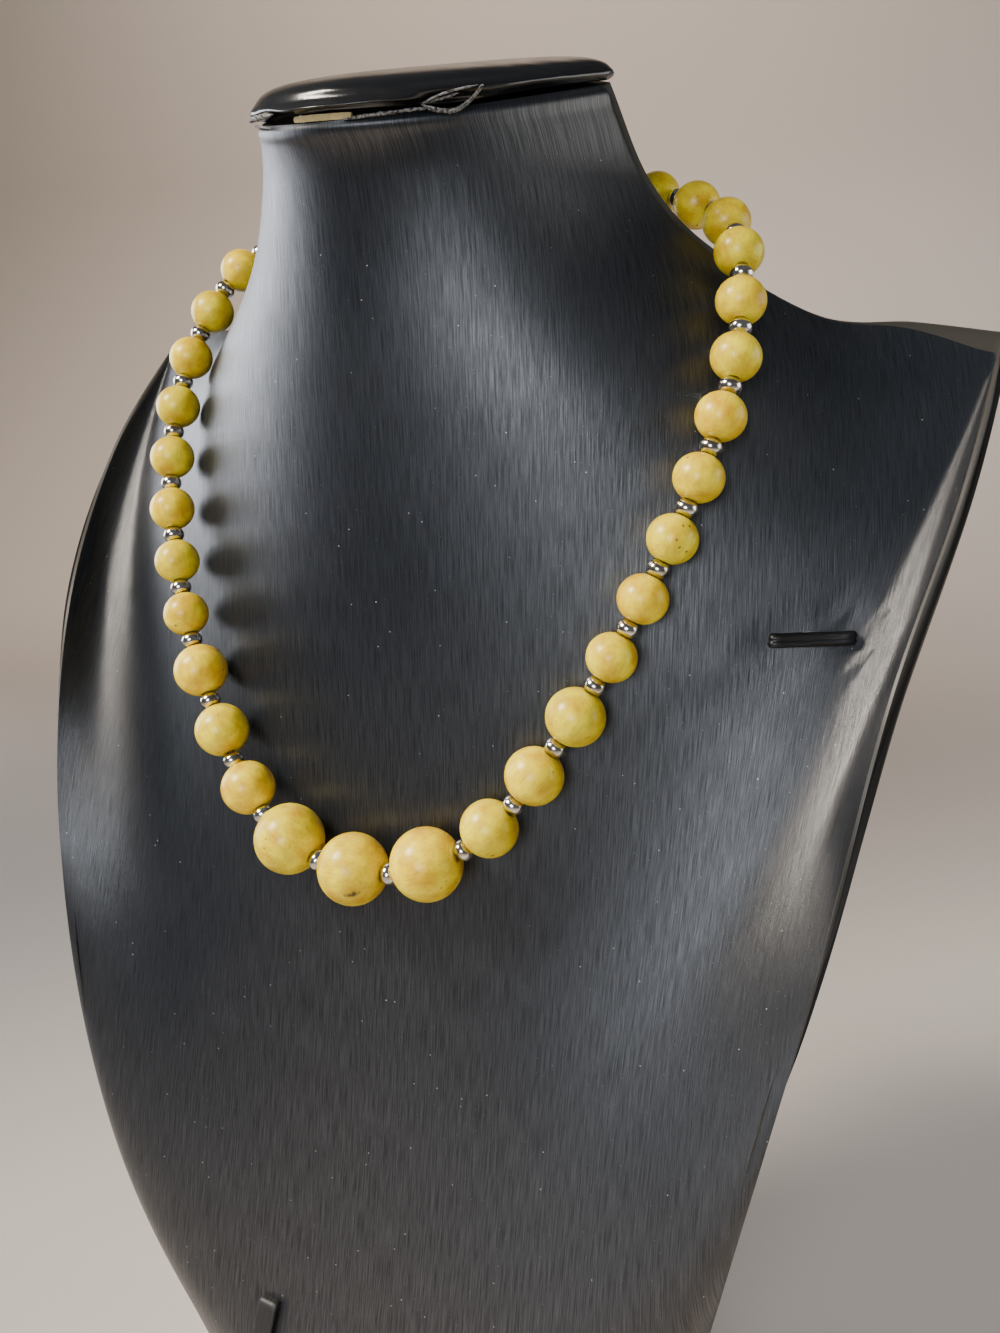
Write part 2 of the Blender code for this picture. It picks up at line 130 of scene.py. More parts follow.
def add_light(name, place, aim_at, width, height, spread, power, colour):
    """A soft light of a width and height that faces a point, with its beam's spread in degrees."""
    data = bpy.data.lights.new(name, "AREA")
    data.shape = "RECTANGLE"
    data.size = width
    data.size_y = height
    data.spread = math.radians(spread)
    data.energy = power
    data.color = linear(colour)[:3]
    item = link_object(name, data)
    item.location = place
    item.rotation_mode = "QUATERNION"
    item.rotation_quaternion = (Vector(place) - Vector(aim_at)).to_track_quat("Z", "Y")


CHEST = (0.0, -0.03, 0.15)
add_light("window_key", (-0.60, -0.62, 0.88), (0.07, -0.05, 0.13), 0.38, 0.38, 38, 1.85, "fff4e6")
add_light("left_window", (-0.89, 0.12, 0.28), CHEST, 0.66, 0.56, 70, 1.6, "eef2fb")
add_light("front_window", (0.28, -1.22, 0.44), (0.07, -0.03, 0.22), 0.74, 0.68, 32, 1.08, "e8eef7")
add_light("right_window", (0.95, 0.50, 0.35), CHEST, 1.00, 0.60, 180, 6.0, "f4f2ee")
add_light("wall_wash", (-0.40, 0.50, 1.60), (-0.80, 1.20, 0.45), 0.60, 0.60, 90, 7.0, "ffeedd")
world = bpy.data.worlds.new("soft_room")
world.use_nodes = True
feed(world.node_tree.nodes["Background"], Color=linear("d2d6dc"), Strength=0.17)
bpy.context.scene.world = world

# Bust panel.
# The front of the bust is board formed into neck, shoulders and chest and covered in black leatherette with
# a fine brushed grain that runs down it. Its edge is turned over, and two straps are threaded through it.
BUST_WIDTH = 216 * MM
BUST_HEIGHT = 285 * MM
BUST_DEPTH = 80 * MM
PANEL_THICKNESS = 2.5 * MM
Section = namedtuple("Section", "front_height side_height half_width front_depth side_depth roundness")
SECTIONS = (
    Section(0.963, 1.000, 0.346, -0.526, 0.021, 0.90),
    Section(0.934, 0.938, 0.399, -0.463, 0.119, 0.93),
    Section(0.871, 0.893, 0.495, -0.416, 0.219, 0.95),
    Section(0.774, 0.848, 0.683, -0.383, 0.351, 0.97),
    Section(0.651, 0.844, 0.836, -0.358, 0.470, 0.99),
    Section(0.513, 0.836, 0.997, -0.341, 0.528, 0.997),
    Section(0.370, 0.733, 0.991, -0.348, 0.179, 0.98),
    Section(0.236, 0.596, 0.934, -0.391, -0.138, 0.97),
    Section(0.124, 0.418, 0.869, -0.451, -0.307, 0.96),
    Section(0.042, 0.211, 0.752, -0.507, -0.356, 0.94),
    Section(0.000, 0.000, 0.600, -0.537, -0.172, 0.89),
)
SHOULDER_ROW = 5
PANEL_COLUMNS = 100
SLOT_DIMPLE = 0.8 * MM
Spot = namedtuple("Spot", "section across")
SIDE_STRAP_ENDS = (Spot(4.90, 0.724), Spot(5.40, 0.842))
FOOT_STRAP_ENDS = (Spot(8.53, -0.262), Spot(9.40, -0.335))


def smooth_value(values, place):
    """Reads a smooth curve through evenly spaced values at a fractional place."""
    padded = [2 * values[0] - values[1], *values, 2 * values[-1] - values[-2]]
    index = min(max(int(place), 0), len(values) - 2)
    share = place - index
    before, start, end, after = padded[index:index + 4]
    slope_in = (end - before) / 2
    slope_out = (after - start) / 2
    bend = 3 * (end - start) - 2 * slope_in - slope_out
    twist = 2 * (start - end) + slope_in + slope_out
    return start + slope_in * share + bend * share ** 2 + twist * share ** 3


def section_at(place):
    """The panel's section at a fractional number, with a corner at the shoulder tip."""
    values = {}
    for name in Section._fields:
        column = [getattr(row, name) for row in SECTIONS]
        if name in ("front_height", "front_depth", "roundness"):
            values[name] = smooth_value(column, place)
        elif place <= SHOULDER_ROW:
            values[name] = smooth_value(column[:SHOULDER_ROW + 1], place)
        else:
            values[name] = smooth_value(column[SHOULDER_ROW:], place - SHOULDER_ROW)
    return Section(**values)


def on_section(row, across):
    """A point on the outer face, at a share of a section's half width."""
    flatness = math.sqrt(1 - row.roundness ** 2)
    bow = (1 - math.sqrt(max(1 - (row.roundness * across) ** 2, 0))) / (1 - flatness)
    depth = row.front_depth + (row.side_depth - row.front_depth) * bow
    height = row.front_height + (row.side_height - row.front_height) * bow
    return Vector((row.half_width * across * BUST_WIDTH / 2, depth * BUST_DEPTH, height * BUST_HEIGHT))


def panel_point(place, across):
    """A point on the panel's outer face."""
    return on_section(section_at(place), across)


def panel_normal(place, across):
    """The way out of the panel's outer face."""
    step = 0.01
    down = panel_point(place + step, across) - panel_point(place - step, across)
    side = panel_point(place, across + step) - panel_point(place, across - step)
    return down.cross(side).normalized()


def spread(columns):
    """Shares from -1 to 1 that lie closer together at the sides."""
    return [math.sin(math.pi * (column / columns - 0.5)) for column in range(columns + 1)]


def grid_faces(rows, columns):
    """Quads over a grid of points, row by row."""
    faces = []
    for row in range(rows):
        for column in range(columns):
            first = row * (columns + 1) + column
            below = first + columns + 1
            faces.append((first, below, below + 1, first + 1))
    return faces


def sheet_mesh(name, rows):
    """A smooth sheet over rows of points, with a UV map in metres run across and down the sheet."""
    columns = len(rows[0]) - 1
    data = bpy.data.meshes.new(name)
    data.from_pydata([tuple(point) for row in rows for point in row], [], grid_faces(len(rows) - 1, columns))
    data.shade_smooth()
    middle = columns // 2
    down = [0.0]
    for upper, lower in zip(rows, rows[1:]):
        down.append(down[-1] + (lower[middle] - upper[middle]).length)
    reach = []
    for row in rows:
        run = [0.0]
        for first, second in zip(row, row[1:]):
            run.append(run[-1] + (second - first).length)
        reach.append([value - run[middle] for value in run])
    layer = data.uv_layers.new(name="sheet_run")
    for loop in data.loops:
        row, column = divmod(loop.vertex_index, columns + 1)
        layer.data[loop.index].uv = (reach[row][column], down[row])
    return data


def finished_mesh(item, name):
    """Turns an object with its modifiers into one plain mesh object and removes the first."""
    graph = bpy.context.evaluated_depsgraph_get()
    data = bpy.data.meshes.new_from_object(item.evaluated_get(graph), preserve_all_data_layers=True,
                                           depsgraph=graph)
    data.name = name
    bpy.data.objects.remove(item)
    return link_object(name, data)


def add_node(tree, kind, settings=None, **sources):
    """Adds a node with its settings and feeds its inputs."""
    made = tree.nodes.new(kind)
    for name, value in (settings or {}).items():
        setattr(made, name, value)
    feed(made, **sources)
    return made


def on_object(tree):
    """The place on the object, in metres."""
    return add_node(tree, "ShaderNodeTexCoord").outputs["Object"]


def clouds(tree, place, scale, detail, **sources):
    """Cloudy noise at a place, from 0 to 1."""
    return add_node(tree, "ShaderNodeTexNoise", Vector=place, Scale=scale, Detail=detail, **sources)


def streaked(tree, layer, width, length, detail, **sources):
    """Noise drawn out into streaks along a sheet's own run, of a width and a length."""
    uv = add_node(tree, "ShaderNodeUVMap", {"uv_map": layer})
    drawn = add_node(tree, "ShaderNodeMapping", Vector=uv, Scale=(1 / width, 1 / length, 1.0))
    return clouds(tree, drawn, 1.0, detail, **sources)


def ranged(tree, value, from_min, from_max, to_min, to_max):
    """A value carried from one range into another and held between its ends."""
    return add_node(tree, "ShaderNodeMapRange", Value=value, From_Min=from_min, From_Max=from_max,
                    To_Min=to_min, To_Max=to_max)


def maths(tree, operation, *values):
    """One step of arithmetic on outputs and plain numbers."""
    numbered = {f"_{index}": value for index, value in enumerate(values)}
    return add_node(tree, "ShaderNodeMath", {"operation": operation}, **numbered)


def blend(tree, share, first, second, way="MIX"):
    """Two colours mixed by a share, or multiplied."""
    return add_node(tree, "ShaderNodeMix", {"data_type": "RGBA", "blend_type": way}, _0=share, _6=first,
                    _7=second).outputs[2]


def two_tone(tree, value, dark, light, low=0.0, high=1.0):
    """A value as a colour that goes from a dark one to a light one between two stops."""
    made = add_node(tree, "ShaderNodeValToRGB", Fac=value)
    for stop, place, colour in zip(made.color_ramp.elements, (low, high), (dark, light)):
        stop.position = place
        stop.color = linear(colour)
    return made


def specks(tree, place, cells, rarity, inner, outer):
    """Round specks in a few cells of a pattern, full inside one radius and gone at another, in cells."""
    cell = add_node(tree, "ShaderNodeTexVoronoi", Vector=place, Scale=cells)
    split = add_node(tree, "ShaderNodeSeparateColor", Color=cell.outputs["Color"])
    rare = maths(tree, "GREATER_THAN", split, rarity)
    return maths(tree, "MULTIPLY", ranged(tree, cell, outer, inner, 0.0, 1.0), rare)


def emboss(tree, shader, height, strength, depth):
    """Gives a finish a fine relief from a height."""
    relief = add_node(tree, "ShaderNodeBump", Strength=strength, Distance=depth, Height=height)
    feed(shader, Normal=relief)


STREAK_WIDTH = 0.30 * MM
STREAK_LENGTH = 9 * MM
EMBOSS_DEPTH = 0.35 * MM
Dust = namedtuple("Dust", "cells rarity radius colour")
PALE_DUST = Dust(360.0, 0.50, 0.055, "a9abad")
GREY_DUST = Dust(700.0, 0.66, 0.085, "5d6063")


def leatherette(name, colour, roughness, grain):
    """Black PVC leatherette with a brushed emboss: satin plastic whose fine streaks catch the light."""
    made, tree, shader = new_finish(name, colour, roughness, IOR=1.65, Anisotropic=0.45)
    across = add_node(tree, "ShaderNodeTangent", {"direction_type": "UV_MAP", "uv_map": "sheet_run"})
    feed(shader, Tangent=across)
    # streaks are a few tenths of a millimetre wide and several millimetres long, with finer ones between them
    streaks = streaked(tree, "sheet_run", STREAK_WIDTH, STREAK_LENGTH, 4.0, Roughness=0.68, Lacunarity=2.3)
    place = on_object(tree)
    skin = blend(tree, 1.0, linear(colour), ranged(tree, streaks, 0.32, 0.68, 0.4, 1.8), "MULTIPLY")
    for dust in (PALE_DUST, GREY_DUST):
        settled = specks(tree, place, dust.cells, dust.rarity, dust.radius / 2, dust.radius)
        skin = blend(tree, settled, skin, linear(dust.colour))
    feed(shader, Base_Color=skin)
    mottle = maths(tree, "ADD", streaks, clouds(tree, place, 26.0, 4.0))
    feed(shader, Roughness=ranged(tree, mottle, 0.6, 1.4, roughness + 0.09, roughness - 0.09))
    feed(shader, Specular_IOR_Level=ranged(tree, streaks, 0.36, 0.64, 0.3, 0.7))
    emboss(tree, shader, streaks, grain, EMBOSS_DEPTH)
    return made


brushed_black = leatherette("brushed_pvc_leatherette", "0e1218", 0.36, 0.25)
# the turned-over edge and the rim are painted a lighter warm grey than the face: a painted sheen along the
# turned edge
turned_edge_painted_sheen, _, _ = new_finish("turned_over_leatherette_painted_sheen", "34322d", 0.5)
lining, _, _ = new_finish("black_paper_lining", "1b1b1c", 0.85)

# how the leatherette dips and wrinkles round the slots; it is pulled in more at each strap's lower end
SLOT_REACH = 22 * MM
DIMPLE_REACH = 4.5 * MM
WRINKLES = 11
WRINKLE_START = 4 * MM
WRINKLE_REACH = 3.5 * MM
WRINKLE_HEIGHT = 0.3 * MM
dimples = []
for end, pull in ((0, 0.4), (1, 1.0)):
    for spot in (SIDE_STRAP_ENDS[end], FOOT_STRAP_ENDS[end]):
        dimples.append((panel_point(*spot), pull))


def pulled_in(point, normal):
    """Where the leatherette lies near the slots: drawn in towards them, with small wrinkles that run out."""
    moved = point.copy()
    for centre, pull in dimples:
        away = point - centre
        distance = away.length
        if distance > SLOT_REACH:
            continue
        angle = math.atan2(away.z, away.x)
        moved -= normal * SLOT_DIMPLE * pull * math.exp(-(distance / DIMPLE_REACH) ** 2)
        fan = math.sin(angle * WRINKLES + 2.5 * noise.noise(away * 150))
        fade = math.exp(-((distance - WRINKLE_START) / WRINKLE_REACH) ** 2)
        moved += normal * WRINKLE_HEIGHT * pull * (fan * fade)
    return moved


neck_front = panel_point(0, 0)
NECK_UP = (panel_point(0, 1) - neck_front).cross(panel_point(0, -1) - neck_front).normalized()
EDGE_DROP = 0.6 * MM
EDGE_REACH = 0.55 * MM
EDGE_COLUMNS = 12
EDGE_ROWS = 0.5
TURNED_COLUMNS = 3
TURNING_SWELL = 0.35 * MM
TURNING_DOWN = 1.9 * MM


def eased_edges(place, line):
    """Rounds the sheet's side edges and swells the turned-in leatherette under the neck's top edge."""
    shares = spread(PANEL_COLUMNS)
    eased = list(line)
    for ends in (range(EDGE_COLUMNS), range(PANEL_COLUMNS, PANEL_COLUMNS - EDGE_COLUMNS, -1)):
        run = 0.0
        before = line[ends[0]]
        for column in ends:
            run += (line[column] - before).length
            before = line[column]
            if run < 4 * EDGE_REACH:
                drop = EDGE_DROP * math.exp(-(run / EDGE_REACH) ** 2)
                eased[column] = eased[column] - panel_normal(place, shares[column]) * drop
    if place < EDGE_ROWS:
        for column, across in enumerate(shares):
            below = (panel_point(0, across) - line[column]).dot(NECK_UP)
            swell = TURNING_SWELL * math.exp(-((below - TURNING_DOWN) / TURNING_DOWN * 1.6) ** 2)
            drop = EDGE_DROP * math.exp(-(below / EDGE_REACH) ** 2)
            eased[column] = eased[column] + panel_normal(place, across) * (swell - drop)
    return eased


def formed_sheet(name, rows, thickness, turned=0):
    """Board with a thickness: leatherette outside, lining inside, its rim turned over some outer columns,
    which take a lighter finish as a painted sheen.
    """
    sheet = link_object(name + "_sheet", sheet_mesh(name + "_sheet", rows))
    for finish in (brushed_black, lining, turned_edge_painted_sheen):
        sheet.data.materials.append(finish)
    columns = len(rows[0]) - 1
    # the outermost columns of the face take the lighter edge finish, a painted sheen along the turned edge
    for face in sheet.data.polygons:
        column = face.index % columns
        if min(column, columns - 1 - column) < turned:
            face.material_index = 2
    wall = sheet.modifiers.new("wall", "SOLIDIFY")
    wall.thickness = thickness
    wall.offset = -1
    wall.material_offset = 1
    wall.material_offset_rim = 2
    made = finished_mesh(sheet, name)
    made.data.set_sharp_from_angle(angle=math.radians(40))
    return made


# the rows lie closer together down the neck's first section, where the edge swells
NECK_STEP = 0.03
NECK_STEPS = 33
BODY_STEPS = 134
neck_places = [NECK_STEP * row for row in range(NECK_STEPS)]
body_places = [1 + 9 * row / BODY_STEPS for row in range(BODY_STEPS + 1)]
panel_rows = []
for place in neck_places + body_places:
    section = section_at(place)
    line = eased_edges(place, [on_section(section, across) for across in spread(PANEL_COLUMNS)])
    for column, across in enumerate(spread(PANEL_COLUMNS)):
        if any((line[column] - centre).length < SLOT_REACH for centre, _ in dimples):
            line[column] = pulled_in(line[column], panel_normal(place, across))
    panel_rows.append(line)
formed_panel = formed_sheet("formed_panel", panel_rows, PANEL_THICKNESS, TURNED_COLUMNS)
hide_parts("bust_panel")
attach(formed_panel, "root")

# Neck back and board leg.
# The back of the neck is a second sheet of the same covered board, butted to the front one. A plain board
# stands behind the chest and holds the bust up. Both are finished in the same leatherette.
NECK_BACK_DEPTH = 31.4 * MM
NECK_BACK_THICKNESS = 1.5 * MM
NECK_BACK_LAST = 2.2
SEAM_GAP = 1.9 * MM
NECK_BACK_ROWS = 40
NECK_BACK_COLUMNS = 60
LEG_BEVEL = 0.8 * MM


def neck_back_point(place, across):
    """A point on the outer face of the sheet behind the panel's side edges."""
    row = section_at(place)
    side = on_section(row, 1.0)
    climb = (row.side_height - row.front_height) * BUST_HEIGHT
    tilt = climb / ((row.side_depth - row.front_depth) * BUST_DEPTH)
    start = side.y + SEAM_GAP
    depth = start + (NECK_BACK_DEPTH - start) * (1 - across ** 2)
    return Vector((side.x * across, depth, side.z + (depth - side.y) * tilt))


back_rows = []
for row in range(NECK_BACK_ROWS + 1):
    place = NECK_BACK_LAST * row / NECK_BACK_ROWS
    back_rows.append([neck_back_point(place, -across) for across in spread(NECK_BACK_COLUMNS)])
formed_neck_back = formed_sheet("formed_neck_back", back_rows, NECK_BACK_THICKNESS)
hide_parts("neck_back")
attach(formed_neck_back, "root")


def flat_run(data, across, down):
    """Gives a piece the sheet's UV map from two of its own axes, in metres."""
    layer = data.uv_layers.new(name="sheet_run")
    for loop in data.loops:
        place = data.vertices[loop.vertex_index].co
        layer.data[loop.index].uv = (place[across], place[down])


def solid_from(form, name, finish, smooth=True):
    """Turns a built form into an object of one finish, with its faces outwards, and frees the form."""
    bmesh.ops.recalc_face_normals(form, faces=form.faces)
    data = bpy.data.meshes.new(name)
    form.to_mesh(data)
    form.free()
    if smooth:
        data.shade_smooth()
    data.materials.append(finish)
    return link_object(name, data)


low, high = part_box("easel_leg")
form = bmesh.new()
bmesh.ops.create_cube(form, size=1.0)
bmesh.ops.scale(form, vec=high - low, verts=form.verts)
bmesh.ops.translate(form, vec=(low + high) / 2, verts=form.verts)
bmesh.ops.bevel(form, geom=form.edges, offset=LEG_BEVEL, segments=4, profile=0.5, affect="EDGES")
board_leg = solid_from(form, "board_leg", brushed_black)
board_leg.data.set_sharp_from_angle(angle=math.radians(60))
flat_run(board_leg.data, 0, 2)
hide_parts("easel_leg")
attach(board_leg, "root")

# Neck cap.
# A padded roll of glossier leatherette closes the neck's slanting top. It is glued down by hand, so its front
# edge gapes, a strip of raw board shows under it, and two small folds stand open with grey cut edges.
CAP_THICKNESS = 8.0 * MM
CAP_BACK_THICKNESS = 4.0 * MM
CAP_LOOP = 240
CAP_GAP = 0.3 * MM
Ring = namedtuple("Ring", "rise proud")
CAP_RINGS = (
    Ring(0.10, -5.0), Ring(0.02, -2.2), Ring(0.03, -0.3), Ring(0.10, 0.6), Ring(0.20, 1.05),
    Ring(0.31, 0.95), Ring(0.43, 0.45), Ring(0.56, -0.3), Ring(0.68, -1.4), Ring(0.79, -3.1),
    Ring(0.88, -5.6), Ring(0.95, -9.5), Ring(1.0, -15.0), Ring(1.03, -22.0), Ring(1.04, -30.0),
)
RING_STEPS = 4
CROWN = 0.3 * MM
# where the roll is pushed in or lifted: place along the front edge and its half spread, depth in mm, and the
# rise of the dent's middle with its own reach
Dent = namedtuple("Dent", "across spread depth rise reach")
CAP_DENTS = (
    Dent(-0.30, 0.13, 1.9, 0.08, 0.16),
    Dent(-0.05, 0.50, -0.55, 0.22, 0.07),
    Dent(-0.52, 0.10, -0.7, 0.30, 0.16),
    Dent(0.05, 0.22, 1.2, 0.05, 0.12),
    Dent(0.30, 0.20, 1.0, 0.05, 0.12),
    Dent(0.12, 0.30, -0.45, 0.26, 0.10),
    Dent(0.57, 0.09, 2.4, 0.17, 0.13),
    Dent(0.50, 0.14, -0.8, 0.46, 0.12),
    Dent(0.80, 0.18, 1.4, 0.10, 0.14),
    Dent(0.00, 0.34, 0.8, 0.50, 0.13),
    Dent(0.66, 0.20, 0.5, 0.60, 0.12),
)
Lift = namedtuple("Lift", "across spread height")
CAP_LIFTS = (Lift(0.0, 0.26, 1.5), Lift(0.34, 0.2, 0.8), Lift(-0.34, 0.12, 1.0), Lift(0.85, 0.14, 0.5))
LIFT_TOP = 0.45
WAVE_MM = 0.35
RIPPLE_MM = 0.12
BEHIND = 2.0

front_edge = [(across, panel_point(0, across)) for across in np.linspace(-1, 1, 141)]
rear_edge = [(BEHIND, neck_back_point(0, -across)) for across in spread(60)]
edge_line = front_edge + rear_edge
edge_run = [0.0]
for (_, first), (_, second) in zip(edge_line, edge_line[1:] + edge_line[:1]):
    edge_run.append(edge_run[-1] + (second - first).length)


def cap_edge(share):
    """The neck's top edge at a share of the way round: place across the front, or 2 behind, and the point."""
    length = share * edge_run[-1]
    index = max(0, int(np.searchsorted(edge_run, length)) - 1)
    (first_across, first), (second_across, second) = edge_line[index], edge_line[(index + 1) % len(edge_line)]
    part = (length - edge_run[index]) / (edge_run[index + 1] - edge_run[index])
    across = first_across
    if abs(second_across - first_across) < 0.5:
        across += (second_across - first_across) * part
    return across, first.lerp(second, part)


cap_middle = sum((point for _, point in edge_line), Vector()) / len(edge_line)
edge_low = min(point.y for _, point in edge_line)
edge_high = max(point.y for _, point in edge_line)


def cap_point(across, point, rise, proud_mm):
    """A point on the roll: up from the neck's edge by a share of its thickness, and out from it."""
    out = (point - cap_middle).normalized()
    behind = (point.y + out.y * proud_mm * MM - edge_low) / (edge_high - edge_low)
    thick = CAP_THICKNESS + (CAP_BACK_THICKNESS - CAP_THICKNESS) * behind
    proud = proud_mm
    lifted = 0.0
    if across < BEHIND:
        for dent in CAP_DENTS:
            proud -= dent.depth * math.exp(-((across - dent.across) / dent.spread) ** 2
                                           - ((rise - dent.rise) / dent.reach) ** 2)
        low_share = max(0.0, 1 - rise / LIFT_TOP)
        for lift in CAP_LIFTS:
            lifted += lift.height * MM * low_share * math.exp(-((across - lift.across) / lift.spread) ** 2)
    wave = WAVE_MM * noise.noise(point * 60 + Vector((0, 0, rise * 1.5)))
    ripple = RIPPLE_MM * noise.noise(point * 260 + Vector((rise * 5, 0, 0)))
    return point + out * (proud + wave + ripple) * MM + NECK_UP * (CAP_GAP + rise * thick + lifted)


def skinned(form, rings, capped=False):
    """Adds rings of points with faces between them, and over both ends where it is capped."""
    made = [[form.verts.new(point) for point in ring] for ring in rings]
    for first, second in zip(made, made[1:]):
        for index in range(len(first)):
            following = (index + 1) % len(first)
            form.faces.new((first[index], first[following], second[following], second[index]))
    if capped:
        form.faces.new(made[0])
        form.faces.new(made[-1])
    return made


def glossy_leatherette():
    """Soft black PVC leatherette stretched over foam: glossy, with a fine hide grain and small creases."""
    made, tree, shader = new_finish("glossy_pvc_leatherette", "101113", 0.22, IOR=1.6)
    place = on_object(tree)
    hide = add_node(tree, "ShaderNodeTexVoronoi", {"feature": "SMOOTH_F1"}, Vector=place, Scale=1500.0)
    crease = clouds(tree, place, 160.0, 4.0)
    feed(shader, Roughness=ranged(tree, crease, 0.0, 1.0, 0.14, 0.32))
    height = maths(tree, "MULTIPLY_ADD", hide, 0.35, crease)
    emboss(tree, shader, height, 0.35, 0.15 * MM)
    return made


cap_rings = []
for step in range((len(CAP_RINGS) - 1) * RING_STEPS + 1):
    rise, proud = (smooth_value([ring[part] for ring in CAP_RINGS], step / RING_STEPS) for part in (0, 1))
    cap_rings.append([cap_point(*cap_edge(index / CAP_LOOP), rise, proud) for index in range(CAP_LOOP)])
form = bmesh.new()
ring_verts = skinned(form, cap_rings)
for ring, lift in ((ring_verts[0], 0.0), (ring_verts[-1], CROWN)):
    middle = sum((vert.co for vert in ring), Vector()) / CAP_LOOP + NECK_UP * lift
    hub = form.verts.new(middle)
    for index in range(CAP_LOOP):
        form.faces.new((ring[index], ring[(index + 1) % CAP_LOOP], hub))
padded_cap = solid_from(form, "padded_cap", glossy_leatherette())
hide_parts("neck_cap")
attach(padded_cap, "root")


def cap_front(across, height_mm, proud_mm):
    """A point by the cap's front edge, by height above it and how far it stands out."""
    point = panel_point(0, across)
    out = (point - cap_middle).normalized()
    return point + NECK_UP * height_mm * MM + out * proud_mm * MM


def edge_path(stations, steps):
    """A smooth path by the cap's front edge through stations of across, height, proud and lean."""
    path = []
    last = len(stations) - 1
    for step in range(steps + 1):
        place = last * step / steps
        across, height, proud, lean = (smooth_value([row[part] for row in stations], place)
                                       for part in range(4))
        path.append((cap_front(across, height, proud), lean))
    return path


def ribbon(form, cut):
    """A thin strip along a path, with ragged edges, closed all round, and drawn in at its ends."""
    path = edge_path(cut.stations, cut.steps)
    rings = []
    for index, (point, lean) in enumerate(path):
        share = index / (len(path) - 1)
        taper = min(1.0, 6 * share, 6 * (1 - share)) * (1 - cut.blunt) + cut.blunt
        shake = Vector((index * 0.37 + cut.seed, cut.seed * 1.7, 0.3))
        out = (point - cap_middle).normalized()
        tall = (NECK_UP * math.cos(lean) + out * math.sin(lean)) * MM
        deep = (out * math.cos(lean) - NECK_UP * math.sin(lean)) * MM
        upper = cut.width * taper * (0.5 + cut.rough * noise.noise(shake * 2.1))
        lower = -cut.width * taper * (0.5 + cut.rough * noise.noise(shake * 2.1 + Vector((9, 0, 0))))
        bend = cut.rough * 0.3 * noise.noise(shake + Vector((0, 5, 0)))
        half = cut.thick / 2
        corners = ((lower, -half), (0.0, -half * 1.3), (upper, -half * 0.6), (upper, half * 0.6),
                   (0.0, half * 1.3), (lower, half))
        rings.append([point + tall * high + deep * (away + bend) for high, away in corners])
    skinned(form, rings, capped=True)


# the cut edges: along the seam, three round the open leaf-shaped fold, and two on the tongue at the left;
# each has its steps, width, thickness and roughness in mm, and stations of across, height, proud and lean
Cut = namedtuple("Cut", "steps width thick rough seed stations blunt", defaults=(0.2,))
CUT_EDGES = (
    Cut(200, 0.55, 0.35, 0.55, 1.0, (
        (0.14, 0.25, 0.1, 0.3), (0.24, 0.45, 0.35, 0.5), (0.34, 0.5, 0.5, 0.6), (0.44, 0.55, 0.7, 0.6),
        (0.50, 0.4, 0.9, 0.5))),
    Cut(160, 0.75, 0.4, 0.35, 2.0, (
        (0.475, 1.2, 0.9, 0.6), (0.51, 0.2, 1.6, 0.7), (0.57, -0.5, 1.9, 0.6), (0.62, 0.6, 1.9, 0.5),
        (0.66, 2.4, 1.5, 0.4), (0.675, 3.1, 1.2, 0.3))),
    Cut(130, 0.38, 0.3, 0.35, 3.0, (
        (0.48, 1.4, 0.8, 0.4), (0.53, 2.3, 1.3, 0.2), (0.59, 2.9, 1.6, 0.0), (0.66, 3.2, 1.3, 0.0))),
    Cut(110, 0.5, 0.25, 0.45, 4.0, ((0.49, 1.4, 0.3, 0.6), (0.54, 1.7, 0.6, 0.6), (0.60, 2.3, 0.9, 0.5))),
    Cut(130, 0.85, 0.4, 0.4, 5.0, (
        (-0.66, 0.9, 1.6, 0.5), (-0.52, 1.3, 1.9, 0.5), (-0.38, 1.8, 1.7, 0.4), (-0.28, 2.2, 0.9, 0.2))),
    Cut(110, 0.4, 0.3, 0.4, 6.0, ((-0.60, -0.1, 0.8, 0.9), (-0.45, 0.0, 1.0, 0.8), (-0.33, -0.2, 0.8, 0.8))),
)
form = bmesh.new()
for cut in CUT_EDGES:
    ribbon(form, cut)
# the cut leatherette shows its grey cotton backing as short fibres
cotton, tree, shader = new_finish("cut_cotton_backing", "6f6c69", 0.85)
fibres = clouds(tree, on_object(tree), 1800.0, 3.0)
feed(shader, Base_Color=two_tone(tree, fibres, "2a2929", "8f8b88", 0.38, 0.60))
emboss(tree, shader, fibres, 0.8, 0.2 * MM)
cut_edges = solid_from(form, "cut_edges", cotton)
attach(cut_edges, "root")

# the raw board under the cap, pale yellow where it shows in the gap
BOARD_STRIP = Cut(40, 1.15, 0.8, 0.08, 7.0, (
    (-0.16, 0.9, -0.9, 0.0), (0.0, 0.95, -0.7, 0.0), (0.18, 0.8, -0.9, 0.0)), blunt=0.85)
form = bmesh.new()
ribbon(form, BOARD_STRIP)
straw_board, tree, shader = new_finish("raw_straw_board", "bfa873", 0.8)
pulp = clouds(tree, on_object(tree), 900.0, 3.0)
feed(shader, Base_Color=two_tone(tree, pulp, "9c8450", "d3bf8a"))
raw_board = solid_from(form, "raw_board", straw_board, smooth=False)
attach(raw_board, "root")

# Straps.
# A doubled black lace is threaded through two slots by the wearer's left shoulder, and a flat band through
# two more near the foot. They hold earrings or a second chain, and pull the leatherette in where they pass.
SIDE_STRAP_WIDTH = 2.8 * MM
SIDE_STRAP_THICKNESS = 1.5 * MM
FOOT_STRAP_WIDTH = 5.0 * MM
FOOT_STRAP_THICKNESS = 1.6 * MM
STRAP_TAIL = 5 * MM
STRAP_RISE = 0.2 * MM
STRAP_SIDES = 32
STRAP_STEPS = 12
SLOT_START = 0.3 * MM
BEND_RISE = 0.72
BEND_RUN = 0.24


